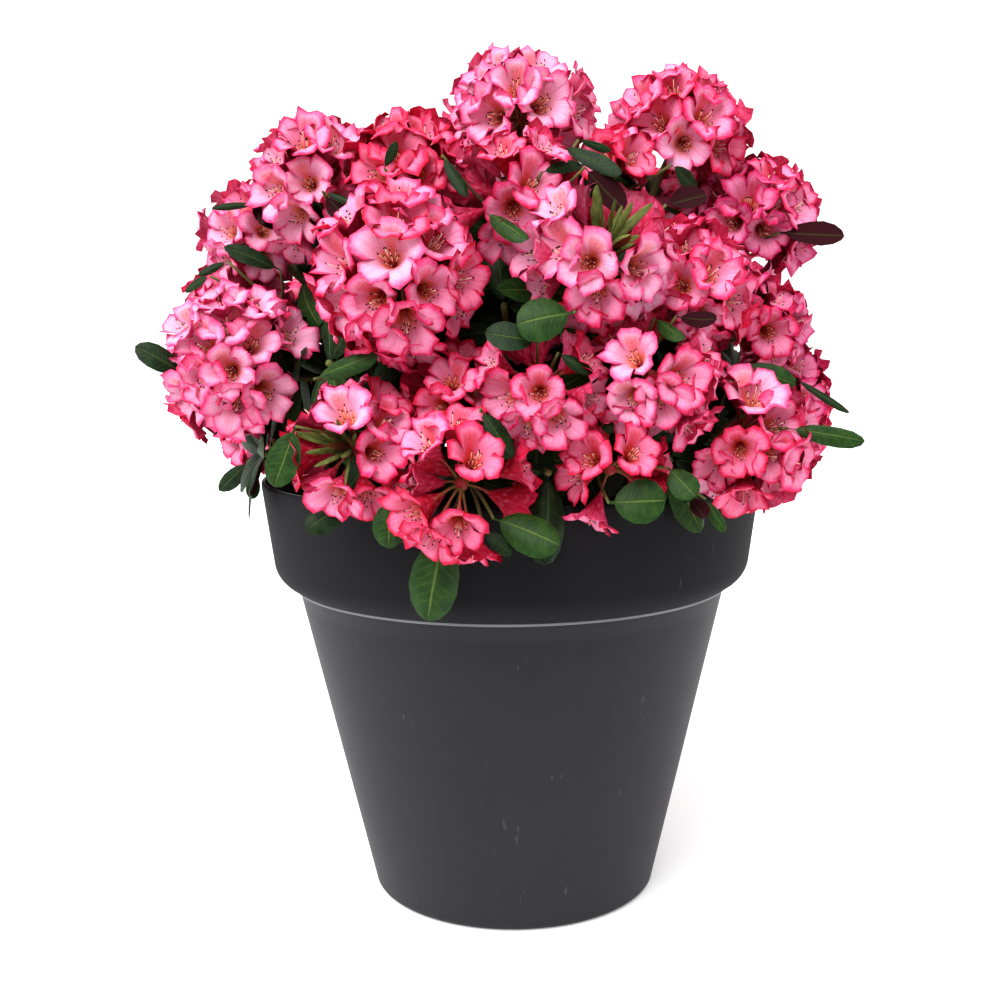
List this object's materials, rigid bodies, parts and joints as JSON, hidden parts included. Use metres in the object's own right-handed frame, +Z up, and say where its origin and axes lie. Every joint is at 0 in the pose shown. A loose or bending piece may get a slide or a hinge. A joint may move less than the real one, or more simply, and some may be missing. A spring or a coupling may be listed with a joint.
{
  "type": "potted rhododendron shrub",
  "caption": "Large-flowered rhododendron shrub in full bloom in a round plastic pot with a deep collar: short trunk, forking boughs and domed flower heads over whorled leaves.",
  "frame": {"origin": "middle of the pot's flat underside", "axes": "+Z up, -Y towards the front of the plant, +X to its right as seen from the front"},
  "size_m": [0.5338, 0.5469, 0.6623],
  "materials": {
    "pot_plastic": "matte anthracite grey injection-moulded plastic, faintly speckled, with a few light scuffs",
    "potting_soil": "dark crumbly peat compost with bark pieces",
    "bark": "thin grey-brown flaking bark",
    "blossom": "soft pink petals with deeper rose ruffled edges, peach throats and dark red flecks",
    "leaf": "leathery dark green leaf with a pale midrib and a maroon-brown underside"
  },
  "bodies": {
    "root": {"pot": "pot_plastic", "potting_soil": "potting_soil", "trunk": "bark", "bough_left": "bark", "bough_front_left": "bark", "bough_front": "bark", "bough_front_right": "bark", "bough_front_high": "bark", "bough_top": "bark", "bough_right": "bark", "bough_rear_1": "bark", "bough_rear_2": "bark", "bough_rear_3": "bark", "bough_rear_4": "bark", "bough_rear_5": "bark", "mass_left": "blossom", "mass_front_left": "blossom", "mass_front": "blossom", "mass_front_right": "blossom", "mass_front_high": "blossom", "mass_top": "blossom", "mass_right": "blossom", "mass_rear_1": "blossom", "mass_rear_2": "blossom", "mass_rear_3": "blossom", "mass_rear_4": "blossom", "mass_rear_5": "blossom"}
  },
  "joints": []
}
